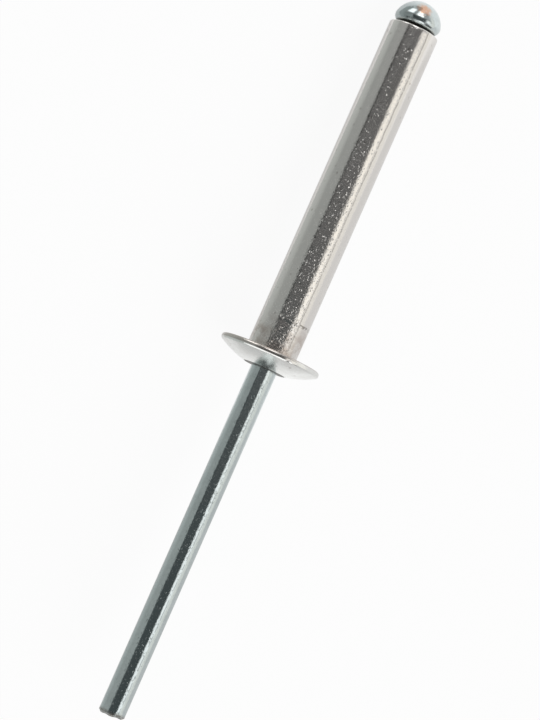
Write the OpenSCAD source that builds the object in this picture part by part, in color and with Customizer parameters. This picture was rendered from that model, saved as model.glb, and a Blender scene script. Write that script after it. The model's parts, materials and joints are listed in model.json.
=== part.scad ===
// Blind rivet of the open-end kind, 4.8 mm, with a domed flange and a long mandrel, not yet set.
// Each piece is drawn standing on the rivet's axis and then laid down. The rivet lies on z = 0 on
// two points, the rim of the flange and the far edge of the sleeve, with the mandrel's round head
// toward +X and the cut tip in the air. Heights in the drawing run along the axis: 0 is the
// flange's seat, the side that meets the sheet, and + points toward the mandrel's head.

/* [Sleeve] */
// Outside diameter of the sleeve
sleeve_d = 4.8; // [4.6:0.1:5]
// Length of the sleeve from the flange's seat to its far end
sleeve_len = 32.9; // [20:0.1:45]
// Diameter of the bore, which clears the mandrel
bore_d = 2.7; // [2.6:0.05:2.9]
// Rounding of the sleeve's far edge
sleeve_edge_r = 0.15; // [0.05:0.05:0.3]
// Width of the bevel at the bore's mouth, where the mandrel's head is seated
mouth_bevel = 0.15; // [0.05:0.05:0.2]

/* [Flange] */
// Diameter of the flange
flange_d = 9.7; // [9.5:0.1:10]
// Height of the flange from its seat to the plateau
flange_h = 1.62; // [1.4:0.02:1.66]
// Radius of the sphere that the flange's dome is part of
flange_dome_r = 9.4; // [9.3:0.1:10]
// Height of the straight wall's end above the seat, at the rim
rim_wall_h = 0.42; // [0.36:0.02:0.5]
// Rounding of the rim's edge on the seat side
rim_edge_r = 0.24; // [0.1:0.02:0.3]
// Rounding of the rim's edge on the dome side
rim_brow_r = 0.1; // [0.04:0.02:0.14]
// Fillet between the sleeve and the flange's seat
root_r = 0.12; // [0.06:0.02:0.2]

/* [Grip ring] */
// Length of the ring that the flange presses into the mandrel
grip_len = 0.8; // [0.6:0.05:1]
// Depth of that ring
grip_depth = 0.05; // [0.02:0.01:0.1]
// Size of the small groove round the mandrel in the plateau
collar_gap = 0.1; // [0.05:0.01:0.15]

/* [Mandrel] */
// Diameter of the mandrel's stem
mandrel_d = 2.5; // [2.4:0.02:2.5]
// Length of stem that stands out of the plateau
stem_out = 34.6; // [25:0.1:45]
// Bevel of the cut-off tip
tip_bevel = 0.22; // [0.1:0.02:0.4]
// Distance from the sleeve's far end back to the break neck
neck_back = 1.8; // [1.4:0.1:4]
// Width of the break neck across its flats
neck_w = 1.7; // [1.5:0.05:1.9]

/* [Mandrel head] */
// Largest diameter of the mandrel's head
head_d = 4.5; // [4.4:0.02:4.6]
// Height of the head above the sleeve's far end
head_h = 2.76; // [2.7:0.02:2.9]
// Radius of the head's rounded belly
belly_r = 0.7; // [0.6:0.02:0.76]
// Height of the belly's centre above the sleeve's far end
belly_h = 0.88; // [0.84:0.02:0.96]

/* [Hidden] */
// Facets of a whole turn, and steps in the small and the large arcs of an outline
$fn = 96;
arc_steps = 8;
dome_steps = 18;

sleeve_r = sleeve_d / 2;
bore_r = bore_d / 2;
flange_r = flange_d / 2;
mandrel_r = mandrel_d / 2;
plateau_z = -flange_h;
tip_z = plateau_z - stem_out;

// The flange's dome is part of a sphere centred on the axis. The rim's brow is a small arc that
// runs into it without a corner, and the flat plateau cuts its crown off
brow_x = flange_r - rim_brow_r;
flange_dome_z = sqrt(pow(flange_dome_r - rim_brow_r, 2) - pow(brow_x, 2)) - rim_wall_h;
plateau_r = sqrt(pow(flange_dome_r, 2) - pow(flange_dome_z + flange_h, 2));
brow_end = -atan2(flange_dome_z + rim_wall_h, brow_x);
plateau_edge = -atan2(flange_dome_z + flange_h, plateau_r);

// The ring where the flange grips the stem, just inside the groove round the mandrel
grip_start = plateau_z + collar_gap;
grip_end = grip_start + grip_len;

// The mandrel's head: a belly, a dome tangent to the belly, and below them a cone that leaves the
// belly without a corner and lies on the bevel of the bore's mouth
belly_x = head_d / 2 - belly_r;
crown_h = head_h - belly_r;
dome_h = (pow(crown_h, 2) - pow(belly_x, 2) - pow(belly_h, 2)) / (2 * (crown_h - belly_h));
dome_r = head_h - dome_h;
dome_start = atan2(belly_h - dome_h, belly_x);
seat_r = bore_r + mouth_bevel;
seat_to_belly = norm([belly_x - seat_r, belly_h]);
cone_angle = atan2(belly_h, belly_x - seat_r) - asin(belly_r / seat_to_belly);
cone_slope = tan(cone_angle);

// How it lies: a line touches the rounding of the rim and the rounding of the sleeve's far edge
rest_rise = (flange_r - rim_edge_r) - (sleeve_r - sleeve_edge_r);
rest_run = sleeve_len - sleeve_edge_r + rim_edge_r;
edge_turn = asin((rim_edge_r - sleeve_edge_r) / norm([rest_rise, rest_run]));
rest_tilt = atan2(rest_rise, rest_run) + edge_turn;
seat_height = (flange_r - rim_edge_r) * cos(rest_tilt) - rim_edge_r * sin(rest_tilt) + rim_edge_r;

// The middle of its length as it lies, from the tip's lower corner to the top of the head's dome
head_reach = (sleeve_len + dome_h) * cos(rest_tilt) + dome_r;
tip_reach = tip_z * cos(rest_tilt) - (mandrel_r - tip_bevel) * sin(rest_tilt);
middle = (head_reach + tip_reach) / 2;

// Points of an arc about a centre, from one angle to another
function arc(centre, radius, from, to, steps = arc_steps) = [
    for (i = [0:steps])
        let (angle = from + (to - from) * i / steps)
            centre + radius * [cos(angle), sin(angle)]
];

// The grip ring's wall, a shallow bow that the flange and the stem share
function grip_wall() = [
    for (i = [0:arc_steps])
        let (t = i / arc_steps)
            [mandrel_r - grip_depth * 4 * t * (1 - t), grip_start + grip_len * t]
];

// The flange's outline, from its seat round the rim and over the dome to the groove at the mandrel
function flange_outline() = concat(
    arc([flange_r - rim_edge_r, -rim_edge_r], rim_edge_r, 90, 0),
    arc([brow_x, -rim_wall_h], rim_brow_r, 0, brow_end),
    arc([0, flange_dome_z], flange_dome_r, brow_end, plateau_edge, dome_steps),
    [[mandrel_r + collar_gap, plateau_z]]
);

// The bore's outline, from the grip ring to the bevelled mouth that takes the mandrel's head
function bore_outline() = concat(
    grip_wall(),
    [[bore_r, grip_end + collar_gap]],
    [[bore_r, sleeve_len - mouth_bevel * cone_slope], [seat_r, sleeve_len]]
);

// The sleeve's outline, from its far end back to the fillet at the flange's seat
function sleeve_outline() = concat(
    arc([sleeve_r - sleeve_edge_r, sleeve_len - sleeve_edge_r], sleeve_edge_r, 90, 0),
    arc([sleeve_r + root_r, root_r], root_r, 180, 270)
);

// The stem's outline, from the cut tip past the grip ring to the head's cone
function stem_outline() = concat(
    [[0, tip_z], [mandrel_r - tip_bevel, tip_z], [mandrel_r, tip_z + tip_bevel]],
    grip_wall(),
    [[mandrel_r, sleeve_len - (seat_r - mandrel_r) * cone_slope]]
);

// The head's outline, from the cone over the belly and the dome to the axis
function head_outline() = concat(
    arc([belly_x, sleeve_len + belly_h], belly_r, cone_angle - 90, dome_start),
    arc([0, sleeve_len + dome_h], dome_r, dome_start, 90, dome_steps)
);

// Lays a piece that was drawn along Z down on z = 0, with its head end toward +X
module lay_down() {
    translate([-middle, 0, seat_height])
        rotate([0, 90 + rest_tilt, 0])
            children();
}

// One headed tube of soft aluminium: the sleeve, the domed flange and the bore through both
module rivet_body() {
    color("lightgray")
        lay_down()
            rotate_extrude()
                polygon(concat(flange_outline(), bore_outline(), sleeve_outline()));
}

// The break neck: wedge dies pinch the stem from four sides and leave it square there
module neck_pinches() {
    die = mandrel_d;
    for (turn = [0:90:270])
        rotate([0, 0, turn])
            translate([neck_w / 2 + die / sqrt(2), 0, sleeve_len - neck_back])
                rotate([0, 45, 0])
                    cube([die, 2 * die, die], center = true);
}

// One length of plated steel wire: the cut tip, the stem, the break neck and the upset head
module mandrel() {
    color("gray")
        lay_down()
            difference() {
                rotate_extrude()
                    polygon(concat(stem_outline(), head_outline()));
                neck_pinches();
            }
}

rivet_body();
mandrel();
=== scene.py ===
# %% [markdown]
# # A blind rivet, not yet set
# The rivet is two turned pieces on one axis: a soft aluminium tube with a wide domed flange, and a
# long zinc-plated steel mandrel whose round head closes the far end of the tube. It lies on the rim
# of its flange and on the edge of its sleeve. This lesson turns both pieces on a small lathe made of
# Geometry Nodes, finishes them in procedural metal, and lights them the way polished metal is lit.

# %% Load the frame
import json
import math
from types import SimpleNamespace
import bmesh
import bpy
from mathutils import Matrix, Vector


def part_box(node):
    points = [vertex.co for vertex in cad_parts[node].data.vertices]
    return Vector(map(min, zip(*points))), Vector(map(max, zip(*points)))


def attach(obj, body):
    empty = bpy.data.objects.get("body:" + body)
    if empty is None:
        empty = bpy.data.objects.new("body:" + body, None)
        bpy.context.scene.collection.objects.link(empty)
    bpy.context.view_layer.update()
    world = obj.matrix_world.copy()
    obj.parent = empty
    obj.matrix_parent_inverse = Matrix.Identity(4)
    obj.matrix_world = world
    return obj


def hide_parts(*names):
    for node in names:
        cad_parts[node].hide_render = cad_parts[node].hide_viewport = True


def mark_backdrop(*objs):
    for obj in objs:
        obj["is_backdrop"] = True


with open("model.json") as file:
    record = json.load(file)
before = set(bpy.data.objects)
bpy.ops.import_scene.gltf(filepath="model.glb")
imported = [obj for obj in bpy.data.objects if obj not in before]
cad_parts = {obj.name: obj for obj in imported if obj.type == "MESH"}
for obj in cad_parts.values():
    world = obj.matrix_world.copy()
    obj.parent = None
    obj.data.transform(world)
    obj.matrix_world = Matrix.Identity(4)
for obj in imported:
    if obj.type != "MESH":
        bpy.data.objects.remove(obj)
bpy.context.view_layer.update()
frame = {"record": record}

# %% [markdown]
# ## Sizes
# A turned piece needs few numbers: radii, and heights along its axis. The lathe works in millimetres
# on an upright rivet, where height 0 is the flange's seat, the side that meets the sheet, and heights
# grow toward the mandrel's head. The main widths and lengths are read from the frame. The roundings
# and the inside, which the frame doesn't state, follow below.

# %% Sizes in millimetres
mounts = {mount["name"]: mount for mount in frame["record"]["mounts"]}
flange_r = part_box("rivet_body")[1].y * 1000
head_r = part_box("mandrel")[1].y * 1000
sleeve_r = mounts["sleeve_shank"]["dims"]["r_mm"]
stem_r = mounts["mandrel_stem"]["dims"]["r_mm"]
root_r = 0.12
sleeve_edge_r = 0.15
sleeve_len = root_r + mounts["sleeve_shank"]["dims"]["length_mm"] + sleeve_edge_r
bore_r = 1.35
mouth_bevel = 0.15
flange_h = 1.62
flange_dome_r = 9.4
rim_wall_h = 0.42
rim_edge_r = 0.24
rim_brow_r = 0.1
grip_len = 0.8
grip_depth = 0.05
collar_gap = 0.1
tip_bevel = 0.22
tip_z = -flange_h + collar_gap - mounts["mandrel_stem"]["dims"]["length_mm"] - tip_bevel
neck_z = sleeve_len - 1.8
neck_w = 1.7
head_h = 2.76
belly_r = 0.7
belly_h = 0.88
print("sleeve", round(sleeve_r, 3), "x", round(sleeve_len, 3), "flange", round(flange_r, 3),
      "head", round(head_r, 3), "tip at", round(tip_z, 3))

# %% [markdown]
# ## Where the rivet lies
# The frame already holds the rivet lying down, so the lathe's upright piece has to be laid over it.
# The axis of the sleeve's mount says how far it leans, and the mount's middle says where it is.
# Taking both from the frame keeps the pieces true to it, with nothing fitted by eye.

# %% Where the rivet lies
axis = Vector(mounts["sleeve_shank"]["axis"]).normalized()
shank_middle = root_r + mounts["sleeve_shank"]["dims"]["length_mm"] / 2
seat_place = Vector(mounts["sleeve_shank"]["pos_m"]) - axis * shank_middle / 1000
lying_turn = (0.0, math.pi / 2 + math.asin(-axis.z), 0.0)
print("leans", round(math.degrees(math.asin(-axis.z)), 3), "degrees, seat at", seat_place)

# %% [markdown]
# ## Parts of an outline
# A lathe needs half of a section: a line of (radius, height) points. Round stretches are arcs, and
# straight ones get a point every few tenths of a millimetre, because dents and waves can only move
# the points that are there. A narrow flat gets points close to its ends, so that it shades flat.

# %% Parts of an outline
def arc(middle, radius, start, end, steps):
    """Points of an arc, from one angle to another in degrees."""
    turns = [math.radians(start + (end - start) * i / steps) for i in range(steps + 1)]
    return [(middle[0] + radius * math.cos(t), middle[1] + radius * math.sin(t)) for t in turns]


def run(points, longest):
    """The same line with extra points, so that no stretch is longer than it may be."""
    filled = []
    for (r0, z0), (r1, z1) in zip(points, points[1:]):
        steps = max(1, math.ceil(math.hypot(r1 - r0, z1 - z0) / longest - 1e-6))
        filled += [(r0 + (r1 - r0) * i / steps, z0 + (z1 - z0) * i / steps) for i in range(steps)]
    return filled + [points[-1]]


def land(start, end):
    """A narrow flat between two points."""
    (r0, z0), (r1, z1) = start, end
    return [(r0 + (r1 - r0) * t, z0 + (z1 - z0) * t) for t in (0, 0.1, 0.9, 1)]


def grip_wall(steps=8):
    """The shallow ring that the flange presses into the stem."""
    start = collar_gap - flange_h
    shares = [i / steps for i in range(steps + 1)]
    return [(stem_r - grip_depth * 4 * t * (1 - t), start + grip_len * t) for t in shares]


print("arc, run and land are ready, and the grip ring has", len(grip_wall()), "points")

# %% [markdown]
# ## Where the head closes the bore
# Under the mandrel's head is a cone that lies on the bevel of the bore's mouth, so both outlines
# need its slope. It leaves the head's belly without a corner, and the head's dome leaves the belly
# the same way, which settles the dome's middle and the angle where it starts.

# %% Where the head closes the bore
belly_x = head_r - belly_r
crown_h = head_h - belly_r
dome_h = (crown_h ** 2 - belly_x ** 2 - belly_h ** 2) / (2 * (crown_h - belly_h))
dome_r = head_h - dome_h
dome_start = math.degrees(math.atan2(belly_h - dome_h, belly_x))
mouth_r = bore_r + mouth_bevel
reach = math.hypot(belly_x - mouth_r, belly_h)
cone = math.degrees(math.atan2(belly_h, belly_x - mouth_r) - math.asin(belly_r / reach))
cone_slope = math.tan(math.radians(cone))
print("the cone leans", round(cone, 1), "degrees, and the dome has a radius of", round(dome_r, 3))

# %% [markdown]
# ## The body's outline
# The sleeve with its flange and bore is one closed loop: over the flange's rim and dome to the
# mandrel, through the bore, round the sleeve's end, and back along its wall to the flange's seat.
# The brow, where the rim meets the dome, is worn to a narrow flat that shines as one thin line. The
# wall's points are closer near the flange, where the skin is dimpled, and closest at the die's ring.

# %% The body's outline
fine, coarse = 0.2, 1.5
brow_r = flange_r - rim_brow_r
dome_z = math.sqrt((flange_dome_r - rim_brow_r) ** 2 - brow_r ** 2) - rim_wall_h
plateau_r = math.sqrt(flange_dome_r ** 2 - (dome_z + flange_h) ** 2)
worn_turn, worn_lean = 0.24, math.radians(38)
worn_start = -math.degrees(math.atan2(dome_z + rim_wall_h, brow_r)) - worn_turn
dome_end = -math.degrees(math.atan2(dome_z + flange_h, plateau_r))
flank = arc((0, dome_z), flange_dome_r, worn_start, dome_end, 24)
brow = (flange_r, flank[0][1] + (flange_r - flank[0][0]) / math.tan(worn_lean))
rim = arc((flange_r - rim_edge_r, -rim_edge_r), rim_edge_r, 90, 0, 10)
rim += land(brow, flank[0]) + flank[1:]
plateau = run([rim[-1], (stem_r + collar_gap, -flange_h)], fine)
bore_start = collar_gap * 2 + grip_len - flange_h
bore = run([(bore_r, bore_start), (bore_r, sleeve_len - mouth_bevel * cone_slope)], coarse)
end_face = run([(mouth_r, sleeve_len), (sleeve_r - sleeve_edge_r, sleeve_len)], fine)
wall = arc((sleeve_r - sleeve_edge_r, sleeve_len - sleeve_edge_r), sleeve_edge_r, 90, 0, 8)
for stretch_end, step in ((8.0, 0.25), (3.6, 0.12), (2.8, 0.06), (root_r, 0.12)):
    wall += run([wall[-1], (sleeve_r, stretch_end)], step)[1:]
root = arc((sleeve_r + root_r, root_r), root_r, 180, 270, 8)
seat = run([root[-1], rim[0]], fine)
body_outline = rim + plateau[1:] + grip_wall() + bore + end_face[:-1] + wall + root[1:] + seat[1:-1]
print("the body's outline has", len(body_outline), "points")

# %% [markdown]
# ## The mandrel's outline
# The mandrel is one open line between two points of the axis, the middle of its cut tip and the top
# of its head. The head was upset in a die, which left a narrow flat under its belly. The line is
# turned round at the end, so that it runs down the outside as the body's does and the turned faces
# point outward.

# %% The mandrel's outline
tip = run([(0, tip_z), (stem_r - tip_bevel, tip_z), (stem_r, tip_z + tip_bevel)], 0.08)
stem_free = run([tip[-1], grip_wall()[0]], fine)
stem_inside = run([grip_wall()[-1], (stem_r, neck_z - 1)], coarse)
stem_neck = run([stem_inside[-1], (stem_r, sleeve_len - (mouth_r - stem_r) * cone_slope)], 0.05)
belly_middle = (belly_x, sleeve_len + belly_h)
flat_start, flat_end = -41, -27
under_belly = arc(belly_middle, belly_r, cone - 90, flat_start, 6)
over_belly = arc(belly_middle, belly_r, flat_end, dome_start, 10)
belly = under_belly + land(under_belly[-1], over_belly[0])[1:-1] + over_belly
dome = arc((0, sleeve_len + dome_h), dome_r, dome_start, 90, 36)
under_head = run([stem_neck[-1], belly[0]], 0.1)
mandrel_outline = tip + stem_free[1:] + grip_wall()[1:] + stem_inside[1:] + stem_neck[1:]
mandrel_outline += under_head[1:] + belly[1:] + dome[1:]
mandrel_outline.reverse()
print("the mandrel's outline has", len(mandrel_outline), "points")

# %% [markdown]
# ## Helpers for node trees
# Trees of nodes are long to write out, so small helpers do it. One adds a node and fills its inputs,
# with a value or with another node's output, and the rest do the sums. They serve Geometry Nodes and
# materials alike, because both kinds of tree are built the same way.

# %% Nodes and sums of numbers
def put(tree, kind, feeds=None, **options):
    """Adds a node, sets its options, and fills its inputs by a value or by another node's output."""
    made = tree.nodes.new(kind)
    for option, choice in options.items():
        setattr(made, option, choice)
    for socket, source in (feeds or {}).items():
        if isinstance(source, bpy.types.NodeSocket):
            tree.links.new(source, made.inputs[socket])
        else:
            made.inputs[socket].default_value = source
    return made


def sums(tree, operation, first, second=0.0, third=0.0):
    """One sum of one, two or three numbers."""
    return put(tree, "ShaderNodeMath", {0: first, 1: second, 2: third}, operation=operation).outputs[0]


def times(tree, product, *others):
    """Several numbers multiplied."""
    for other in others:
        product = sums(tree, "MULTIPLY", product, other)
    return product


def weighted(tree, total, *parts):
    """A number plus other numbers, each given with its weight."""
    for part, weight in parts:
        total = sums(tree, "MULTIPLY_ADD", part, weight, total)
    return total


def between(tree, value, start, end, low=0.0, high=1.0):
    """Turns a value smoothly from low at start to high at end."""
    feeds = {"Value": value, "From Min": start, "From Max": end, "To Min": low, "To Max": high}
    return put(tree, "ShaderNodeMapRange", feeds, interpolation_type="SMOOTHSTEP").outputs["Result"]


print("put, sums, times, weighted and between are ready")

# %% [markdown]
# ## Places and noise
# A place is a vector: sideways distances in X and Y, and the height along the axis in Z. Splitting
# and joining it, and squeezing its height before a noise reads it, makes a pattern that is drawn out
# along the rivet. The noise has a fourth dimension, and each use of it takes a place there as seed.

# %% Places and noise
def vectors(tree, operation, first, second=(0.0, 0.0, 0.0)):
    """One sum of vectors, whose answer is a number if it is a product, a length or a distance."""
    made = put(tree, "ShaderNodeVectorMath", {0: first, 1: second}, operation=operation)
    return made.outputs["Value" if operation in ("DOT_PRODUCT", "LENGTH", "DISTANCE") else "Vector"]


def scaled(tree, vector, factor):
    """A vector made longer or shorter."""
    return put(tree, "ShaderNodeVectorMath", {0: vector, "Scale": factor}, operation="SCALE").outputs[0]


def split(tree, vector):
    """A vector's parts, by name."""
    return put(tree, "ShaderNodeSeparateXYZ", {0: vector}).outputs


def join(tree, x=0.0, y=0.0, z=0.0):
    """A vector of three numbers."""
    return put(tree, "ShaderNodeCombineXYZ", {0: x, 1: y, 2: z}).outputs[0]


def drawn_out(tree, spot, length):
    """A place whose height is squeezed, so that a pattern on it is that much longer than wide."""
    return vectors(tree, "MULTIPLY", spot, join(tree, 1.0, 1.0, sums(tree, "DIVIDE", 1.0, length)))


def beside(tree, spot, turn):
    """How far a place is to the side of a line along the piece, and one on the line's own half."""
    angle = sums(tree, "RADIANS", turn)
    sine, cosine = sums(tree, "SINE", angle), sums(tree, "COSINE", angle)
    across = vectors(tree, "DOT_PRODUCT", spot, join(tree, sine, times(tree, cosine, -1.0)))
    inward = vectors(tree, "DOT_PRODUCT", spot, join(tree, cosine, sine))
    return across, sums(tree, "LESS_THAN", inward, 0.0)


def noise(tree, spot, scale, seed, detail=2.0, roughness=0.5):
    """The outputs of a noise: a number and a colour."""
    feeds = {"Vector": spot, "Scale": scale, "W": seed, "Detail": detail, "Roughness": roughness}
    return put(tree, "ShaderNodeTexNoise", feeds, noise_dimensions="4D").outputs


def new_tree(name, kind, inputs, outputs):
    """An empty node tree with named inputs, each a kind of socket and a start value, and outputs."""
    tree = bpy.data.node_groups.new(name, kind)
    for label, (socket, value) in inputs.items():
        item = tree.interface.new_socket(label, in_out="INPUT", socket_type=socket)
        if value is not None:
            item.default_value = value
    for label, socket in outputs.items():
        tree.interface.new_socket(label, in_out="OUTPUT", socket_type=socket)
    return tree, tree.nodes.new("NodeGroupInput").outputs, tree.nodes.new("NodeGroupOutput").inputs


NUMBER, VECTOR, GEOMETRY = "NodeSocketFloat", "NodeSocketVector", "NodeSocketGeometry"
print("places, noise and new trees are ready")

# %% [markdown]
# ## A press mark
# Dents, nicks and short grooves all come from something hard that pressed into the metal for a
# moment. One node group makes them all: it pushes the points near one spot inward, most in the
# middle and nothing at its edge. The spot is given by a turn about the axis, in degrees from the
# top of the lying rivet, and a height along it. The mark is real geometry, so every light shows it.

# %% A press mark
def pushed(tree, shape, way, distance):
    """Moves the shape's points one way by a distance of their own."""
    offset = scaled(tree, way, distance)
    return put(tree, "GeometryNodeSetPosition", {"Geometry": shape, "Offset": offset}).outputs[0]


def press_mark_group():
    inputs = {"Geometry": (GEOMETRY, None), "Turn": (NUMBER, 0.0), "Height": (NUMBER, 0.0),
              "Width": (NUMBER, 1.0), "Length": (NUMBER, 1.0), "Depth": (NUMBER, 0.01)}
    tree, given, result = new_tree("Press mark", "GeometryNodeTree", inputs, {"Geometry": GEOMETRY})
    spot = put(tree, "GeometryNodeInputPosition").outputs[0]
    across, on_this_side = beside(tree, spot, given["Turn"])
    along = sums(tree, "SUBTRACT", split(tree, spot)["Z"], given["Height"])
    away = vectors(tree, "LENGTH", join(tree, sums(tree, "DIVIDE", across, given["Width"]),
                                        sums(tree, "DIVIDE", along, given["Length"])))
    push = times(tree, between(tree, away, 1.0, 0.0), on_this_side, given["Depth"], -1.0)
    marked = pushed(tree, given["Geometry"], put(tree, "GeometryNodeInputNormal").outputs[0], push)
    tree.links.new(marked, result["Geometry"])
    return tree


def press_marks(tree, shape, marks):
    """Adds one press mark after another, each given as turn, height, width, length and depth."""
    for mark in marks:
        feeds = dict(zip(("Turn", "Height", "Width", "Length", "Depth"), mark), Geometry=shape)
        shape = put(tree, "GeometryNodeGroup", feeds, node_tree=PRESS_MARK).outputs[0]
    return shape


PRESS_MARK = press_mark_group()
print("press mark group:", len(PRESS_MARK.nodes), "nodes")

# %% [markdown]
# ## Waves in the metal
# Nothing drawn or struck is perfectly true. A few thousandths of a millimetre are enough to bend a
# reflection, so a slow noise pushes every point a little way in. It never pushes out, because the
# piece may not grow past its real size.

# %% Waves in the metal
def waves(tree, shape, given):
    """Pushes points inward by a slow noise, whose waves are stretched along the axis."""
    spot = drawn_out(tree, put(tree, "GeometryNodeInputPosition").outputs[0], given["Wave stretch"])
    slow = noise(tree, spot, sums(tree, "DIVIDE", 1.0, given["Wave size"]), given["Wave seed"], 1.0)[0]
    push = times(tree, slow, given["Wave depth"], -1.0)
    return pushed(tree, shape, put(tree, "GeometryNodeInputNormal").outputs[0], push)


print("waves are ready")

# %% [markdown]
# ## The lathe
# A real lathe turns the bar against a tool that follows the outline. Here a tiny circle on the axis
# carries the outline round, which Curve to Mesh does in one step, and Merge by Distance closes the
# poles. The piece's own shaping comes next, while it stands upright in millimetres. Then Transform
# Geometry scales it to metres and lays it down. A lathe in nodes was chosen over Blender's Spin tool
# because its steps stay open: the number of facets and the waves are named inputs.

# %% The lathe
AXIS_CIRCLE = 0.01
POLE_REACH = 0.0005
MILLIMETRE = 0.001
CORNER = math.radians(32)


def lathe_tree(name, shaping):
    """A tree that turns an outline about the axis, shapes it, and lays it down in the frame."""
    inputs = {"Geometry": (GEOMETRY, None), "Facets round": ("NodeSocketInt", 256),
              "Wave size": (NUMBER, 2.0), "Wave stretch": (NUMBER, 1.0), "Wave depth": (NUMBER, 0.0),
              "Wave seed": (NUMBER, 0.0), "Turn to lie": (VECTOR, (0.0, 0.0, 0.0)),
              "Seat place": (VECTOR, (0.0, 0.0, 0.0)), "Finish": ("NodeSocketMaterial", None)}
    tree, given, result = new_tree(name, "GeometryNodeTree", inputs, {"Geometry": GEOMETRY})
    outline = put(tree, "GeometryNodeMeshToCurve", {"Mesh": given["Geometry"]}).outputs[0]
    outline = pushed(tree, outline, (-1.0, 0.0, 0.0), AXIS_CIRCLE)
    circle = put(tree, "GeometryNodeCurvePrimitiveCircle",
                 {"Resolution": given["Facets round"], "Radius": AXIS_CIRCLE}).outputs[0]
    turned = put(tree, "GeometryNodeCurveToMesh", {"Curve": circle, "Profile Curve": outline}).outputs[0]
    shape = put(tree, "GeometryNodeMergeByDistance", {"Geometry": turned, "Distance": POLE_REACH}).outputs[0]
    shape = waves(tree, shaping(tree, shape), given)
    shape = put(tree, "GeometryNodeTransform",
                {"Geometry": shape, "Scale": [MILLIMETRE] * 3, "Rotation": given["Turn to lie"],
                 "Translation": given["Seat place"]}).outputs[0]
    corner = put(tree, "FunctionNodeCompare",
                 {0: put(tree, "GeometryNodeInputMeshEdgeAngle").outputs[0], 1: CORNER},
                 data_type="FLOAT", operation="GREATER_THAN").outputs[0]
    shape = put(tree, "GeometryNodeSetShadeSmooth", {"Geometry": shape, "Shade Smooth": True}).outputs[0]
    shape = put(tree, "GeometryNodeSetShadeSmooth",
                {"Geometry": shape, "Selection": corner, "Shade Smooth": False}, domain="EDGE").outputs[0]
    shape = put(tree, "GeometryNodeRealizeInstances", {"Geometry": shape}).outputs[0]
    shape = put(tree, "GeometryNodeSetMaterial", {"Geometry": shape, "Material": given["Finish"]}).outputs[0]
    tree.links.new(shape, result["Geometry"])
    return tree


print("the lathe is ready: corners sharper than", round(math.degrees(CORNER)), "degrees stay crisp")

# %% [markdown]
# ## Running the lathe
# The outline goes in as a line of edges, and the tree's modifier turns it. The evaluated result is
# kept as a plain mesh and the modifier is taken off, so that the piece needs no nodes any more. The
# cell also counts open edges and measures the volume, whose sign tells whether the faces came out
# of the lathe pointing outward.

# %% Running the lathe
def outline_object(name, points, closed):
    """A line of edges through the outline's points. A circle carries an outline's x outward and its
    y downward, so the height goes in with its sign turned."""
    mesh = bpy.data.meshes.new(name)
    edges = [(i, i + 1) for i in range(len(points) - 1)]
    if closed:
        edges.append((len(points) - 1, 0))
    mesh.from_pydata([(r, -z, 0.0) for r, z in points], edges, [])
    made = bpy.data.objects.new(name, mesh)
    bpy.context.scene.collection.objects.link(made)
    return made


def turn_piece(name, points, closed, tree, finish, facets, wave_size, wave_seed):
    """Puts the outline through the lathe and keeps the result as a plain mesh with its faces outward."""
    settings = {"Facets round": facets, "Wave size": wave_size, "Wave stretch": 5.0, "Wave depth": 0.002,
                "Wave seed": wave_seed, "Turn to lie": lying_turn, "Seat place": tuple(seat_place),
                "Finish": finish}
    piece = outline_object(name, points, closed)
    lathe = piece.modifiers.new("Lathe", "NODES")
    lathe.node_group = tree
    for item in tree.interface.items_tree:
        if item.in_out == "INPUT" and item.name in settings:
            lathe[item.identifier] = settings[item.name]
    graph = bpy.context.evaluated_depsgraph_get()
    mesh = bpy.data.meshes.new_from_object(piece.evaluated_get(graph), depsgraph=graph)
    piece.modifiers.remove(lathe)
    shell = bmesh.new()
    shell.from_mesh(mesh)
    outward = shell.calc_volume(signed=True) > 0
    bmesh.ops.recalc_face_normals(shell, faces=shell.faces)
    volume = shell.calc_volume(signed=True)
    open_edges = sum(1 for edge in shell.edges if not edge.is_manifold)
    shell.to_mesh(mesh)
    shell.free()
    mesh.name = name
    piece.data = mesh
    corners = sum(len(face.vertices) - 2 for face in mesh.polygons)
    print(name, "has", corners, "triangles,", open_edges, "open edges and",
          round(volume * 1e9, 2), "cubic millimetres, turned outward:", outward)
    return piece


print("outline_object and turn_piece are ready")

# %% [markdown]
# ## Coordinates and groups for the effects
# Metal has almost no colour of its own: it is a mirror, and what sets one metal apart from another
# is the tint of the mirror and how it is broken up. Five effects do the breaking up here, each a
# group that both pieces use with its own numbers. They put out masks and heights only. All of them
# read the piece's own coordinates, turned upright again and counted in millimetres.

# %% Coordinates and groups for the effects
def rivet_coordinates(tree):
    """The piece's own coordinates, upright and in millimetres."""
    coordinates = put(tree, "ShaderNodeTexCoord").outputs["Object"]
    upright = put(tree, "ShaderNodeMapping",
                  {"Vector": coordinates, "Location": seat_place, "Rotation": lying_turn,
                   "Scale": [MILLIMETRE] * 3}, vector_type="TEXTURE")
    return upright.outputs[0]


def effect_tree(name, output, **numbers):
    """An empty effect group that takes coordinates and numbers and puts out one mask or height."""
    inputs = {label.replace("_", " "): (NUMBER, value) for label, value in numbers.items()}
    return new_tree(name, "ShaderNodeTree", {"Coordinates": (VECTOR, None), **inputs}, {output: NUMBER})


def effect(tree, group, spot, **values):
    """Places one of the effect groups in a material with its own numbers and gives its output."""
    feeds = {label.replace("_", " "): value for label, value in values.items()}
    return put(tree, "ShaderNodeGroup", {"Coordinates": spot, **feeds}, node_tree=group).outputs[0]


print("coordinates and effect are ready")

# %% [markdown]
# ## Drawing lines
# Wire and tube are pulled through a die, which leaves fine lines along them. A noise that is drawn
# out a hundredfold has just that look, and it needs no picture of a scratch.

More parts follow.
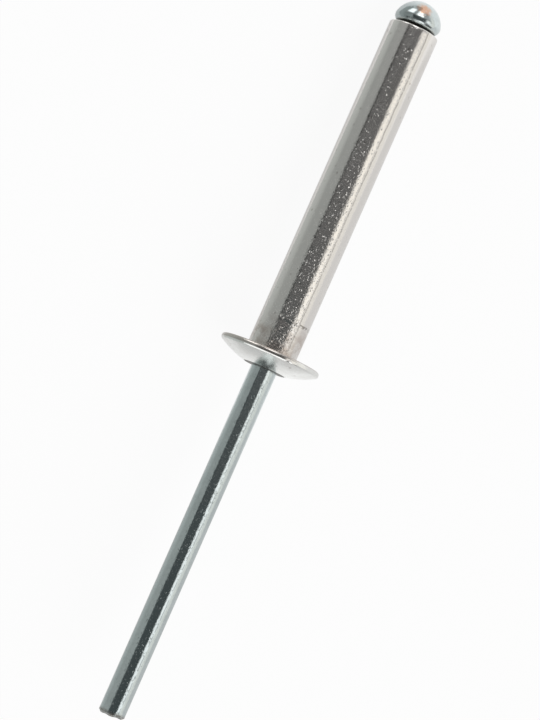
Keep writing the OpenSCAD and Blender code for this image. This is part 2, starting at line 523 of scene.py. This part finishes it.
# %% Drawing lines
def drawing_lines_group():
    tree, given, result = effect_tree("Drawing lines", "Height", Lines_per_mm=8.0, Length=60.0, Seed=0.0)
    spot = drawn_out(tree, given["Coordinates"], given["Length"])
    tree.links.new(noise(tree, spot, given["Lines per mm"], given["Seed"], 1.0)[0], result["Height"])
    return tree


DRAWING_LINES = drawing_lines_group()
print("drawing lines:", len(DRAWING_LINES.nodes), "nodes")

# %% [markdown]
# ## Pits
# Small hollows are one to a cell of a cell pattern, in the share of cells that is asked for. A noise
# bends the cells first, so that the hollows come out crooked, as torn metal does, and not round.

# %% Pits
def pits_group():
    tree, given, result = effect_tree("Pits", "Mask", Size=0.2, Share=0.4, Stretch=1.6, Crook=0.5, Seed=0.0)
    size, seed = given["Size"], given["Seed"]
    cells = drawn_out(tree, given["Coordinates"], given["Stretch"])
    bend = noise(tree, cells, sums(tree, "DIVIDE", 0.8, size), seed, 0.0)["Color"]
    bend = vectors(tree, "SUBTRACT", bend, (0.5, 0.5, 0.5))
    bend = scaled(tree, bend, times(tree, size, given["Crook"]))
    feeds = {"Vector": vectors(tree, "ADD", cells, bend), "W": seed,
             "Scale": sums(tree, "DIVIDE", 1.0, size)}
    pattern = put(tree, "ShaderNodeTexVoronoi", feeds, voronoi_dimensions="4D").outputs
    dice = put(tree, "ShaderNodeSeparateColor", {0: pattern["Color"]}).outputs[0]
    chosen = sums(tree, "LESS_THAN", dice, given["Share"])
    tree.links.new(times(tree, chosen, between(tree, pattern["Distance"], 0.55, 0.05)), result["Mask"])
    return tree


PITS = pits_group()
print("pits:", len(PITS.nodes), "nodes")

# %% [markdown]
# ## Blotches and zones
# Handling and dull spots leave slow uneven patches: a noise whose middle stretch is spread from
# nothing to one. A zone is one between two heights along the axis and fades out past both, which
# says where on the rivet another effect belongs.

# %% Blotches and zones
def blotches_group():
    tree, given, result = effect_tree("Blotches", "Mask", Size=2.0, Low=0.4, High=0.65, Detail=4.0, Seed=0.0)
    scale = sums(tree, "DIVIDE", 1.0, given["Size"])
    field = noise(tree, given["Coordinates"], scale, given["Seed"], given["Detail"], 0.6)[0]
    tree.links.new(between(tree, field, given["Low"], given["High"]), result["Mask"])
    return tree


def zone_group():
    tree, given, result = effect_tree("Zone", "Mask", From=0.0, To=1.0, Fade=0.5)
    height = split(tree, given["Coordinates"])["Z"]
    rise = between(tree, height, sums(tree, "SUBTRACT", given["From"], given["Fade"]), given["From"])
    fall = between(tree, height, given["To"], sums(tree, "ADD", given["To"], given["Fade"]), 1.0, 0.0)
    tree.links.new(times(tree, rise, fall), result["Mask"])
    return tree


BLOTCHES, ZONE = blotches_group(), zone_group()
print("blotches:", len(BLOTCHES.nodes), "nodes, zone:", len(ZONE.nodes), "nodes")

# %% [markdown]
# ## A long scratch
# A worn drawing die leaves one long scratch along the piece. It is a thin line at a turn about the
# axis that wanders a little to both sides, and a second noise breaks it up.

# %% A long scratch
def scratch_group():
    tree, given, result = effect_tree("Long scratch", "Mask", Turn=0.0, Width=0.1, Gaps=0.4, Seed=0.0)
    spot, seed, gaps = given["Coordinates"], given["Seed"], given["Gaps"]
    across, on_this_side = beside(tree, spot, given["Turn"])
    along = join(tree, z=split(tree, spot)["Z"])
    wander = sums(tree, "SUBTRACT", noise(tree, along, 0.9, seed, 3.0)[0], 0.5)
    breaks = noise(tree, along, 2.4, sums(tree, "ADD", seed, 3.0))[0]
    away = sums(tree, "ABSOLUTE", weighted(tree, across, (wander, 0.22)))
    kept = between(tree, breaks, sums(tree, "SUBTRACT", gaps, 0.06), sums(tree, "ADD", gaps, 0.06))
    line = times(tree, between(tree, away, given["Width"], 0.0), on_this_side, kept)
    tree.links.new(line, result["Mask"])
    return tree


SCRATCH = scratch_group()
print("long scratch:", len(SCRATCH.nodes), "nodes")

# %% [markdown]
# ## Building a metal
# A metal here is one Principled surface with Metallic at one. Its colour is a ground colour with
# others laid over it, as plating, stain and dirt are on the real piece. Its relief is a height map
# for the Bump node, whose unit of height is a hundredth of a millimetre or less.

# %% Building a metal
def solid(colour):
    """A colour as a socket takes it: plain numbers get an alpha, and a node's output stays as it is."""
    return (*colour, 1.0) if isinstance(colour, tuple) else colour


def tint(tree, colour, *layers):
    """A colour with others laid over it, each given as the share that covers and the colour."""
    for share, over in layers:
        feeds = {0: share, 6: solid(colour), 7: solid(over)}
        colour = put(tree, "ShaderNodeMix", feeds, data_type="RGBA").outputs[2]
    return colour


def new_metal(name):
    """A material with only a metallic surface in it, and the rivet's coordinates."""
    material = bpy.data.materials.new(name)
    material.use_nodes = True
    tree = material.node_tree
    surface = tree.nodes["Principled BSDF"]
    surface.inputs["Metallic"].default_value = 1.0
    return material, tree, surface, rivet_coordinates(tree)


def finish_metal(tree, surface, colour, dull, height, unit):
    """Gives the surface its colour, its roughness and its relief, in units of so many metres."""
    bump = put(tree, "ShaderNodeBump", {"Height": height, "Distance": unit, "Strength": 1.0}).outputs[0]
    for socket, source in {"Base Color": colour, "Roughness": dull, "Normal": bump}.items():
        tree.links.new(source, surface.inputs[socket])


print("tint, new_metal and finish_metal are ready")

# %% [markdown]
# ## Places on the aluminium
# The sleeve isn't the same all along. Its skin is roughest toward the flange, most of all in a strip
# along its top. It is stained near the root, a die's ring holds dirt on one side, and the flange's
# rim wall gets painted shade, a dark brownish tint, all but on that side. Each place is a mask by
# height, and some end to one side.

# %% Places on the aluminium
def body_places(tree, spot):
    def zone(start, end, fade):
        return effect(tree, ZONE, spot, From=start, To=end, Fade=fade)

    sideways = split(tree, spot)["Y"]
    from_strip = sums(tree, "ABSOLUTE", sums(tree, "ADD", sideways, 0.4))
    return SimpleNamespace(
        toward_flange=zone(-3.0, 4.0, 22.0),
        near_root=zone(-0.5, 1.4, 2.4),
        on_flange=zone(-3.0, -0.14, 0.1),
        # painted shade: the narrow flat ring round the mandrel is darkened
        plateau_shade_zone=zone(-3.0, 0.01 - flange_h, 0.03),
        # painted shade: the rim wall is darkened all but toward its right end
        rim_shade_mask=times(tree, zone(0.04 - rim_wall_h, 0.0, 0.02), between(tree, sideways, -2.8, -1.4)),
        in_die_ring=times(tree, zone(3.05, 3.25, 0.09), between(tree, sideways, -0.4, -1.2)),
        scratched=zone(1.0, 32.5, 1.0),
        in_strip=between(tree, from_strip, 1.4, 0.7, 0.2, 1.0))


print("places on the aluminium are ready")

# %% [markdown]
# ## Aluminium of the sleeve and flange
# The sleeve is drawn tube: bright, with fine lines along it, and with a skin that has pulled into
# small dimples. In the dark band that the sleeve mirrors from above, each deeper pit catches the
# side light as a bright fleck. The flange was struck in a die, which left it paler and smoother than
# the sleeve. The narrow flat ring round the mandrel is painted nearly black, as painted shade in the
# gap between flange and mandrel.

# %% Aluminium
def aluminium():
    material, tree, surface, spot = new_metal("drawn_aluminium")
    bright, struck, brown = (0.81, 0.785, 0.755), (0.90, 0.905, 0.885), (0.44, 0.36, 0.31)
    # The rim's brownish tint is painted shade, for the dark that the rim wall mirrors.
    rim_painted_shade, ring_dark, scratch_dark = (0.44, 0.375, 0.33), (0.20, 0.18, 0.16), (0.25, 0.23, 0.21)
    # The near-black of the flat ring round the mandrel is painted shade.
    pit_dark, plateau_painted_shade = (0.42, 0.39, 0.36), (0.12, 0.11, 0.10)
    at = body_places(tree, spot)
    off_flange = sums(tree, "SUBTRACT", 1.0, at.on_flange)
    patches = effect(tree, BLOTCHES, spot, Size=1.4, Low=0.42, High=0.62, Seed=3.0)
    small_patches = effect(tree, BLOTCHES, spot, Size=0.4, Low=0.4, High=0.65, Seed=5.0)
    dimples = effect(tree, BLOTCHES, spot, Size=0.2, Low=0.25, High=0.75, Detail=1.0, Seed=6.0)
    dirt = effect(tree, BLOTCHES, spot, Size=0.6, Low=0.47, High=0.55, Detail=2.0, Seed=17.0)
    crowd = weighted(tree, 0.25, (times(tree, at.toward_flange, small_patches), 0.9))
    crowd = times(tree, crowd, off_flange)
    flecks = effect(tree, PITS, spot, Size=0.15, Share=crowd, Stretch=1.5, Crook=1.0, Seed=1.0)
    specks = effect(tree, PITS, spot, Size=0.3, Share=0.05, Stretch=1.2, Seed=11.0)
    lines = effect(tree, DRAWING_LINES, spot, Lines_per_mm=7.0, Length=80.0, Seed=2.0)
    scratch = effect(tree, SCRATCH, spot, Turn=34.0, Width=0.11, Gaps=0.41, Seed=21.0)
    scratch = times(tree, scratch, at.scratched)
    stain = times(tree, at.near_root, weighted(tree, 0.1, (patches, 0.55)),
                  weighted(tree, 1.0, (at.on_flange, -0.8)))
    colour = tint(tree, bright, (at.on_flange, struck), (stain, brown),
                  (times(tree, at.rim_shade_mask, 0.6), rim_painted_shade),
                  (times(tree, at.in_die_ring, dirt, 0.75), ring_dark),
                  (times(tree, scratch, 0.5), scratch_dark), (times(tree, specks, 0.7), pit_dark),
                  (times(tree, at.plateau_shade_zone, 0.9), plateau_painted_shade))
    dull = weighted(tree, 0.14, (patches, 0.03), (small_patches, 0.05), (at.near_root, 0.06),
                    (at.plateau_shade_zone, 0.3))
    dimple_depth = weighted(tree, 0.3, (at.toward_flange, 0.3), (at.near_root, 0.6), (at.on_flange, -1.05))
    fleck_depth = times(tree, at.in_strip, weighted(tree, -2.0, (at.toward_flange, -0.9)))
    height = weighted(tree, times(tree, lines, off_flange, 0.06), (dimples, dimple_depth),
                      (flecks, fleck_depth), (scratch, -0.6), (specks, -0.8))
    finish_metal(tree, surface, colour, dull, height, 0.00001)
    return material


ALUMINIUM = aluminium()
print("aluminium:", len(ALUMINIUM.node_tree.nodes), "nodes")

# %% [markdown]
# ## Spots on the mandrel's head
# The top of the round head has a copper-coloured spot, which is a painted reflection of a warm thing
# beside the rivet, and one side of the head is darker. Both are places on the dome, so they are given
# by how far up the dome they are and by their turn about the axis. Their masks fall off with the
# distance from there.

# %% Spots on the mandrel's head
def on_dome(slope, turn):
    """A place on the head's dome: its slope above the belly and its turn from the top line, in degrees."""
    out = dome_r * math.cos(math.radians(slope))
    return (-out * math.cos(math.radians(turn)), -out * math.sin(math.radians(turn)),
            sleeve_len + dome_h + dome_r * math.sin(math.radians(slope)))


# The first spot is where the warm painted reflection sits, the second is the middle of the darker side.
REFLECTION_SPOT, DARKER_SIDE_SPOT = on_dome(37, 4), on_dome(12, -44)
print("copper spot at", [round(part, 2) for part in REFLECTION_SPOT])

# %% [markdown]
# ## Zinc on the steel of the mandrel
# The mandrel is hard drawn wire with a thin bright coat of zinc, which looks colder and a little
# greener than aluminium. It is smoother than the sleeve, with a fine grain, small specks and one
# scratch along it. The gap under its head is painted black, as painted shade between head and
# sleeve, a spot on top of the head is a painted warm reflection, and the cut end is torn and dark.

# %% Zinc-plated steel
def zinc_steel():
    material, tree, surface, spot = new_metal("zinc_plated_steel")
    zinc, zinc_dull, darker_zinc = (0.66, 0.72, 0.72), (0.53, 0.59, 0.59), (0.30, 0.345, 0.35)
    # The near-black in the seat under the head is painted shade.
    speck_dark, scratch_dark, seat_painted_shade = (0.25, 0.28, 0.28), (0.20, 0.22, 0.22), (0.05, 0.05, 0.04)
    # The copper colour is a painted reflection of a warm thing, not the zinc's own colour.
    warm_reflection, torn = (0.70, 0.37, 0.22), (0.26, 0.23, 0.20)
    patches = effect(tree, BLOTCHES, spot, Size=1.2, Low=0.4, High=0.7, Seed=7.0)
    grain = effect(tree, BLOTCHES, spot, Size=0.16, Low=0.4, High=0.65, Seed=9.0)
    dimples = effect(tree, BLOTCHES, spot, Size=0.24, Low=0.25, High=0.75, Detail=1.0, Seed=10.0)
    specks = effect(tree, PITS, spot, Size=0.13, Share=0.4, Stretch=1.5, Crook=1.5, Seed=13.0)
    lines = effect(tree, DRAWING_LINES, spot, Lines_per_mm=12.0, Length=120.0, Seed=4.0)
    scratch = effect(tree, SCRATCH, spot, Turn=30.0, Width=0.09, Gaps=0.44, Seed=31.0)
    scratch = times(tree, scratch, effect(tree, ZONE, spot, From=tip_z, To=-3.5, Fade=1.0))
    at_tip = effect(tree, ZONE, spot, From=tip_z - 1.0, To=tip_z + 0.25, Fade=0.35)
    # painted shade in the gap under the head and round the stem's end in the bore
    seat_shade_zone = effect(tree, ZONE, spot, From=sleeve_len - 1.0, To=sleeve_len + 0.24, Fade=0.12)
    # painted reflection: a warm patch on the top of the head
    from_reflection_spot = vectors(tree, "DISTANCE", spot, REFLECTION_SPOT)
    reflection_share = between(tree, weighted(tree, from_reflection_spot, (grain, 0.12), (dimples, 0.35)), 1.1, 0.5)
    # One side of the head is darker, fading out with the distance from its middle.
    toward_darker_side = between(tree, vectors(tree, "DISTANCE", spot, DARKER_SIDE_SPOT), 2.0, 0.5)
    mottled = times(tree, sums(tree, "ADD", grain, patches), 0.35)
    colour = tint(tree, zinc, (mottled, zinc_dull), (times(tree, toward_darker_side, 0.6), darker_zinc),
                  (times(tree, specks, 0.3), speck_dark), (times(tree, scratch, 0.55), scratch_dark),
                  (times(tree, reflection_share, 0.8), warm_reflection), (times(tree, seat_shade_zone, 0.95), seat_painted_shade),
                  (times(tree, at_tip, weighted(tree, 0.45, (grain, 0.45))), torn))
    dull = weighted(tree, 0.12, (patches, 0.03), (grain, 0.03), (at_tip, 0.18), (seat_shade_zone, 0.3),
                    (specks, 0.15))
    height = weighted(tree, times(tree, grain, 0.3), (lines, 0.2), (dimples, 0.5), (specks, -2.0),
                      (scratch, -1.0), (times(tree, at_tip, grain), -1.6))
    finish_metal(tree, surface, colour, dull, height, 0.000006)
    return material


ZINC_STEEL = zinc_steel()
print("zinc-plated steel:", len(ZINC_STEEL.node_tree.nodes), "nodes")

# %% [markdown]
# ## Shaping the sleeve and its flange
# The heading die left a shallow ring above the flange, deeper in some places than in others, and the
# skin of the sleeve pulled into dimples that end some way up. The flange was struck a trifle out of
# square. All three move points of the turned mesh, by their height and distance from the axis.

# %% Shaping the sleeve and its flange
def from_axis(tree):
    """A point's place, the part of it that leads away from the axis, that part's length and the height."""
    spot = put(tree, "GeometryNodeInputPosition").outputs[0]
    flat = vectors(tree, "MULTIPLY", spot, (1.0, 1.0, 0.0))
    return SimpleNamespace(spot=spot, flat=flat, out=vectors(tree, "LENGTH", flat),
                           height=split(tree, spot)["Z"])


def pressed_wall(tree, shape, here, share, depth):
    """Presses the sleeve's outer wall toward the axis, by a share of a depth."""
    on_wall = sums(tree, "GREATER_THAN", here.out, sleeve_r - 0.1)
    return pushed(tree, shape, vectors(tree, "NORMALIZE", here.flat), times(tree, share, on_wall, -depth))


def die_ring(tree, shape, ring_z, half_width, depth):
    """A shallow groove round the sleeve, deeper in some places than in others."""
    here = from_axis(tree)
    away = sums(tree, "ABSOLUTE", sums(tree, "SUBTRACT", here.height, ring_z))
    uneven = between(tree, noise(tree, here.flat, 0.5, 6.0)[0], 0.35, 0.6)
    share = times(tree, between(tree, away, half_width, 0.0), uneven)
    return pressed_wall(tree, shape, here, share, depth)


def uneven_skin(tree, shape, size, depth, reach):
    """Small dimples in the sleeve's skin, deepest at the flange and gone at the given height."""
    here = from_axis(tree)
    dimples = between(tree, noise(tree, here.spot, 1.0 / size, 8.0, 0.5)[0], 0.3, 0.7)
    share = times(tree, dimples, between(tree, here.height, reach, 1.0),
                  between(tree, here.height, 0.1, 0.4))
    return pressed_wall(tree, shape, here, share, depth)


def flange_lean(tree, shape, angle):
    """Tips the flange sideways by a small angle that fades out in the sleeve and at the mandrel."""
    here = from_axis(tree)
    share = times(tree, between(tree, here.out, stem_r + collar_gap, sleeve_r),
                  between(tree, here.height, 1.5, 0.0))
    lift = times(tree, split(tree, here.spot)["Y"], math.tan(math.radians(angle)), share)
    return pushed(tree, shape, (0.0, 0.0, 1.0), lift)


print("the sleeve's and flange's shaping is ready")

# %% [markdown]
# ## The sleeve and its flange
# On the real rivet this is one blank, headed cold into a flange and pierced for the mandrel. The
# press marks are the ones that show: two short dashes by the die's ring, a nick in the flange's brow
# and a dent on its dome, two dents farther up the sleeve, and a shallow flat on its far edge.

# %% The rivet body
BODY_MARKS = [(41.0, 3.15, 0.35, 0.12, 0.05), (70.0, 3.3, 0.5, 0.12, 0.05),
              (21.0, -0.42, 0.35, 0.16, 0.05), (-40.0, 26.6, 0.12, 0.08, 0.02),
              (62.0, 14.0, 0.3, 0.12, 0.02), (-14.0, -0.9, 0.35, 0.12, 0.012),
              (4.0, 33.0, 0.6, 0.45, 0.024)]


def shape_body(tree, shape):
    shape = uneven_skin(tree, shape, size=0.5, depth=0.005, reach=12.0)
    shape = die_ring(tree, shape, ring_z=2.9, half_width=0.25, depth=0.02)
    shape = press_marks(tree, shape, BODY_MARKS)
    return flange_lean(tree, shape, -0.1)


rivet_body = turn_piece("rivet_body_dressed", body_outline, True,
                        lathe_tree("Turned rivet body", shape_body), ALUMINIUM,
                        facets=256, wave_size=1.3, wave_seed=1.0)
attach(rivet_body, "root")
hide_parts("rivet_body")

# %% [markdown]
# ## The mandrel
# One length of wire: cut off at the tip, pinched from four sides where it is meant to break, and
# upset into a round head. The pinch holds every point near the neck within a square that is
# narrowest at the neck, which is what wedge dies do. The cut at the tip is uneven, because a shear
# tears the last of the wire.

# %% The mandrel
TIP_MARKS = [(38.0, tip_z + 0.05, 0.7, 0.45, 0.12), (75.0, tip_z + 0.1, 0.5, 0.3, 0.06),
             (-30.0, tip_z, 0.5, 0.16, 0.05)]


PINCH_REACH = 0.6


def pinched_neck(tree, shape):
    """Holds the points near the neck between the four wedge dies."""
    spot = split(tree, put(tree, "GeometryNodeInputPosition").outputs[0])
    away = sums(tree, "ABSOLUTE", sums(tree, "SUBTRACT", spot["Z"], neck_z))
    limit = sums(tree, "ADD", away, neck_w / 2)
    least = times(tree, limit, -1.0)
    held = [sums(tree, "MINIMUM", sums(tree, "MAXIMUM", spot[side], least), limit) for side in ("X", "Y")]
    feeds = {"Geometry": shape, "Selection": sums(tree, "LESS_THAN", away, PINCH_REACH),
             "Position": join(tree, *held, spot["Z"])}
    return put(tree, "GeometryNodeSetPosition", feeds).outputs[0]


def shape_mandrel(tree, shape):
    return press_marks(tree, pinched_neck(tree, shape), TIP_MARKS)


mandrel = turn_piece("mandrel_dressed", mandrel_outline, False,
                     lathe_tree("Turned mandrel", shape_mandrel), ZINC_STEEL,
                     facets=192, wave_size=1.0, wave_seed=2.0)
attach(mandrel, "root")
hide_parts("mandrel")

# %% [markdown]
# ## Floor
# The rivet lies on a plain pale sheet. The camera should see it nearly white, and metal should see
# it pale too, so Light Path adds some glow for camera, glossy and transmission rays. The rest of its
# brightness is real light, so that it keeps the rivet's soft shadow. For mirrored rays the glow is
# painted light: it is painted brighter on the left of the sleeve, under the head and round the
# flange, and dimmer toward the tip, so what metal sees of the sheet depends on the place.

# %% Floor
def painted_sheet_light(tree, spot):
    """Painted light on the sheet that only metal sees: a glow painted brighter beside the sleeve, under
    the head and round the flange, and dimmer toward the tip."""
    x, y = split(tree, spot)["X"], split(tree, spot)["Y"]
    beside_sleeve = times(tree, between(tree, x, -0.002, 0.003), between(tree, x, 0.035, 0.03))
    from_flange = vectors(tree, "DISTANCE", spot, (-0.005, 0.0, 0.0))
    return weighted(tree, 0.8, (times(tree, beside_sleeve, between(tree, y, -0.002, 0.004)), 0.3),
                    (between(tree, x, 0.031, 0.037), 0.6), (between(tree, x, -0.003, -0.01), -0.25),
                    (between(tree, from_flange, 0.011, 0.003), 0.55))


def pale_sheet():
    material = bpy.data.materials.new("pale_sheet")
    material.use_nodes = True
    tree = material.node_tree
    tree.nodes.clear()
    lit = put(tree, "ShaderNodeBsdfDiffuse", {"Color": solid((0.9, 0.9, 0.9))})
    rays = put(tree, "ShaderNodeLightPath").outputs
    mirrored = sums(tree, "MAXIMUM", rays["Is Glossy Ray"], rays["Is Transmission Ray"])
    share = weighted(tree, 0.0, (mirrored, 0.4), (rays["Is Camera Ray"], 0.93))
    # The glow that mirrored rays see is painted light, brighter near the rivet and dimmer toward the tip.
    level = painted_sheet_light(tree, put(tree, "ShaderNodeTexCoord").outputs["Object"])
    strength = weighted(tree, 1.0, (mirrored, sums(tree, "SUBTRACT", level, 1.0)))
    glow = put(tree, "ShaderNodeEmission", {"Color": solid((1.0, 1.0, 1.0)), "Strength": strength})
    mixed = put(tree, "ShaderNodeMixShader", {0: share, 1: lit.outputs[0], 2: glow.outputs[0]})
    put(tree, "ShaderNodeOutputMaterial", {"Surface": mixed.outputs[0]})
    return material


def stage_object(name, points, faces, material):
    """An object for the stage round the rivet, from plain points and faces."""
    mesh = bpy.data.meshes.new(name)
    mesh.from_pydata(points, [], faces)
    mesh.materials.append(material)
    made = bpy.data.objects.new(name, mesh)
    bpy.context.scene.collection.objects.link(made)
    return made


HALF_SIDE = 2.0
corners = [(x * HALF_SIDE, y * HALF_SIDE, 0.0) for x, y in ((-1, -1), (1, -1), (1, 1), (-1, 1))]
stage_object("floor", corners, [(0, 1, 2, 3)], pale_sheet())
print("floor is a square of", 2 * HALF_SIDE, "m")

# %% [markdown]
# ## Light
# Polished metal looks like whatever stands round it, so it is lit by a tent: half a sphere over the
# rivet that only mirrored rays see. The tent is white, and soft patches on it stand for what a small
# studio has. A patch is given by its angle round the rivet's axis, from straight up and positive to
# the right, and by its angle toward the head end. A cylinder mirrors only a narrow range of end
# angles, so the sleeve, the mandrel, the head and the flange each see patches of their own.

# %% A soft patch
def soft_patch_group():
    """One inside a patch given by two pairs of angles, fading at its edges."""
    numbers = {label: (NUMBER, 0.0) for label in ("Round from", "Round to", "End from", "End to", "Fade")}
    tree, given, result = new_tree("Soft patch", "ShaderNodeTree", {"Angles": (VECTOR, None), **numbers},
                                   {"Mask": NUMBER})
    half = times(tree, given["Fade"], 0.5)
    edges = []
    for part, label in (("X", "Round"), ("Y", "End")):
        angle = split(tree, given["Angles"])[part]
        start, end = given[label + " from"], given[label + " to"]
        edges.append(between(tree, angle, sums(tree, "SUBTRACT", start, half),
                             sums(tree, "ADD", start, half)))
        edges.append(between(tree, angle, sums(tree, "SUBTRACT", end, half),
                             sums(tree, "ADD", end, half), 1.0, 0.0))
    tree.links.new(times(tree, *edges), result["Mask"])
    return tree


SOFT_PATCH = soft_patch_group()
print("soft patch:", len(SOFT_PATCH.nodes), "nodes")

# %% [markdown]
# ## What stands round the rivet
# The camera looks in through a dark ceiling, which makes the dark band along the top of the sleeve
# and the stem. A grey wall stands on the left, a warm soft box and a pale wall on the right, and
# small lamps toward both ends make the bright spots on the head and the line on the flange's brow.

# %% The tent's patches
WHITE, WARM, COOL = (1.0, 1.0, 1.0), (1.0, 0.97, 0.90), (0.95, 1.0, 0.98)
# What it is, round from and to, end from and to, fade, level, colour. A later patch covers an earlier one
PATCHES = [
    ("wall on the left", (-125, -20), (-35, 90), 10, 0.40, COOL),
    ("that wall beside the sleeve", (-125, -20), (5, 90), 10, 0.35, COOL),
    ("that wall past the head", (-125, -20), (24, 90), 8, 0.5, (1.0, 0.97, 0.93)),
    ("ceiling past the head", (-70, 64), (20, 66), 12, 0.42, WHITE),
    ("right side past the tip", (34, 62), (-70, -16), 4, 0.5, WHITE),
    ("pale wall on the right", (66, 130), (-60, 60), 3, 0.9, (1.0, 0.985, 0.94)),
    ("soft box for the sleeve", (28, 61.5), (-16, 18), 3, 1.15, WARM),
    ("dark ceiling", (-33, 37), (-42, 30), 8, 0.10, WHITE),
    ("ceiling over the sleeve", (-28, 37), (6, 30), 7, 0.14, WHITE),
    ("ceiling's right edge at the flange", (24, 41), (6, 12.5), 5, 0.12, WHITE),
    ("ceiling's black left edge", (-34, -29), (6, 24), 1.5, 0.0, WHITE),
    ("soft box's frame", (62, 65), (4, 40), 1, 0.3, WHITE),
    ("lamp over the head", (-20, 16), (31, 66), 6, 2.2, WHITE),
    ("lamp on the head's left", (-100, -45), (38, 62), 6, 2.4, WHITE),
    ("dark past the tip", (-180, 180), (-91, -58), 4, 0.03, WHITE),
    ("dark strip for the flange", (-100, 100), (-55, -31), 3, 0.13, COOL),
    ("lamp for the flange's brow", (-100, 76), (-76, -49), 3, 1.3, WHITE),
    ("lamp for the head's belly", (4, 38), (-49, -41), 4, 1.5, WHITE),
    ("soft box for the stem", (35, 60), (-16, 6.5), 2, 1.2, WHITE),
    ("ceiling over the stem", (-34, 36), (-16, 6.5), 5, 0.078, (0.85, 1.0, 1.02)),
]


def new_glow(name):
    """An empty material for a glow that the render doesn't sample as a lamp."""
    material = bpy.data.materials.new(name)
    material.use_nodes = True
    material.node_tree.nodes.clear()
    material.cycles.emission_sampling = "NONE"
    return material, material.node_tree


def tent_material():
    material, tree = new_glow("light_tent")
    place = split(tree, put(tree, "ShaderNodeTexCoord").outputs["Object"])
    turned = sums(tree, "ARCTAN2", times(tree, place["Y"], -1.0), place["Z"])
    away = vectors(tree, "LENGTH", join(tree, place["Y"], place["Z"]))
    ended = sums(tree, "ARCTAN2", place["X"], away)
    angles = join(tree, sums(tree, "DEGREES", turned), sums(tree, "DEGREES", ended))
    colour = WHITE
    for label, rounds, ends, fade, level, shade in PATCHES:
        feeds = dict(zip(("Round from", "Round to", "End from", "End to"), rounds + ends))
        feeds.update(Angles=angles, Fade=fade)
        patch = put(tree, "ShaderNodeGroup", feeds, node_tree=SOFT_PATCH, label=label)
        colour = tint(tree, colour, (patch.outputs["Mask"], tuple(level * part for part in shade)))
    glow = put(tree, "ShaderNodeEmission", {"Color": colour})
    put(tree, "ShaderNodeOutputMaterial", {"Surface": glow.outputs[0]})
    return material


print("the tent has", len(PATCHES), "patches")

# %% [markdown]
# ## The tent and the board on the left
# A board close by on the left shades the sleeve's and the stem's left side more evenly than a far
# wall could. It is lighter toward its foot on the sheet. Only mirrored rays see the board and the
# tent, so that neither shows in the picture or throws a shadow.

# %% The tent and the board on the left
BOARD_FOOT, BOARD_TOP = 0.0085, 0.03


def seen_by_metal(name, points, faces, material):
    """A stage piece that only glossy and transmission rays see."""
    made = stage_object(name, points, faces, material)
    made.visible_camera = False
    made.visible_diffuse = False
    made.visible_shadow = False
    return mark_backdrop(made)


def half_sphere(radius, steps):
    """Points and faces of a half sphere over the floor, as strips between the two ends of the X axis."""
    turns = [math.radians(-90 + 180 * i / steps) for i in range(steps + 1)]
    points = [(radius * math.sin(e), -radius * math.cos(e) * math.sin(t), radius * math.cos(e) * math.cos(t))
              for t in turns for e in turns]
    row = steps + 1
    faces = [(i * row + j, i * row + j + 1, (i + 1) * row + j + 1, (i + 1) * row + j)
             for i in range(steps) for j in range(steps)]
    return points, faces


def board_material():
    material, tree = new_glow("grey_board")
    height = split(tree, put(tree, "ShaderNodeTexCoord").outputs["Object"])["Y"]
    level = between(tree, height, BOARD_FOOT, BOARD_TOP, 0.52, 0.39)
    glow = put(tree, "ShaderNodeEmission", {"Color": solid(COOL), "Strength": level})
    put(tree, "ShaderNodeOutputMaterial", {"Surface": glow.outputs[0]})
    return material


board = [(-0.2, BOARD_FOOT, 0.0), (0.2, BOARD_FOOT, 0.0), (0.2, BOARD_TOP, 0.01), (-0.2, BOARD_TOP, 0.01)]
seen_by_metal("light_tent", *half_sphere(0.7, 48), tent_material())
seen_by_metal("left_board", board, [(0, 1, 2, 3)], board_material())
print("tent and board are up")

# %% [markdown]
# ## Room and soft sun
# What isn't mirrored is lit by a plain white room and one very soft sun, which gives the pale shadow
# on the sheet. The room is white to the camera and to metal, and dimmer as a light, so that the room
# and the sun together bring the sheet to a plain level.

# %% Room and soft sun
world = bpy.data.worlds.new("white_room")
bpy.context.scene.world = world
world.use_nodes = True
world.cycles.sampling_method = "NONE"
room = world.node_tree
room_level = 0.35
rays = put(room, "ShaderNodeLightPath").outputs
seen = sums(room, "MAXIMUM", rays["Is Camera Ray"],
            sums(room, "MAXIMUM", rays["Is Glossy Ray"], rays["Is Transmission Ray"]))
background = room.nodes["Background"].inputs
background["Color"].default_value = solid(WHITE)
room.links.new(weighted(room, room_level, (seen, 1 - room_level)), background["Strength"])

sun_data = bpy.data.lights.new("soft_sun", "SUN")
sun_data.energy = 2.3
sun_data.angle = math.radians(50)
sun = bpy.data.objects.new("soft_sun", sun_data)
sun.rotation_euler = Vector((-0.5, -1.0, 0.85)).to_track_quat("Z", "Y").to_euler()
sun.visible_glossy = False
bpy.context.scene.collection.objects.link(sun)
print("room level", room_level, "as a light and 1 for what is seen, sun", round(sun_data.energy, 2))

# %% [markdown]
# ## Camera
# The camera looks straight down on the lying rivet, turned so that the axis runs slanted through
# the frame. The lens is long enough that only a little perspective is left: the far
# tip and the head are seen by a few degrees from their sides.

# %% Camera
VIEW_HEIGHT = 0.2423
LENS = 129.0
AXIS_SLANT = math.radians(66.12)
camera_data = bpy.data.cameras.new("camera")
camera_data.lens = LENS
camera_data.sensor_fit = "VERTICAL"
camera_data.sensor_height = 36.0
camera = bpy.data.objects.new("camera", camera_data)
camera.location = (-0.000336, -0.000159, VIEW_HEIGHT)
camera.rotation_euler = (0.0, 0.0, -AXIS_SLANT)
bpy.context.scene.collection.objects.link(camera)
bpy.context.scene.camera = camera
bpy.context.scene.view_settings.view_transform = "Standard"
print("camera", round(1000 * VIEW_HEIGHT, 1), "mm above the sheet, lens", LENS, "mm")
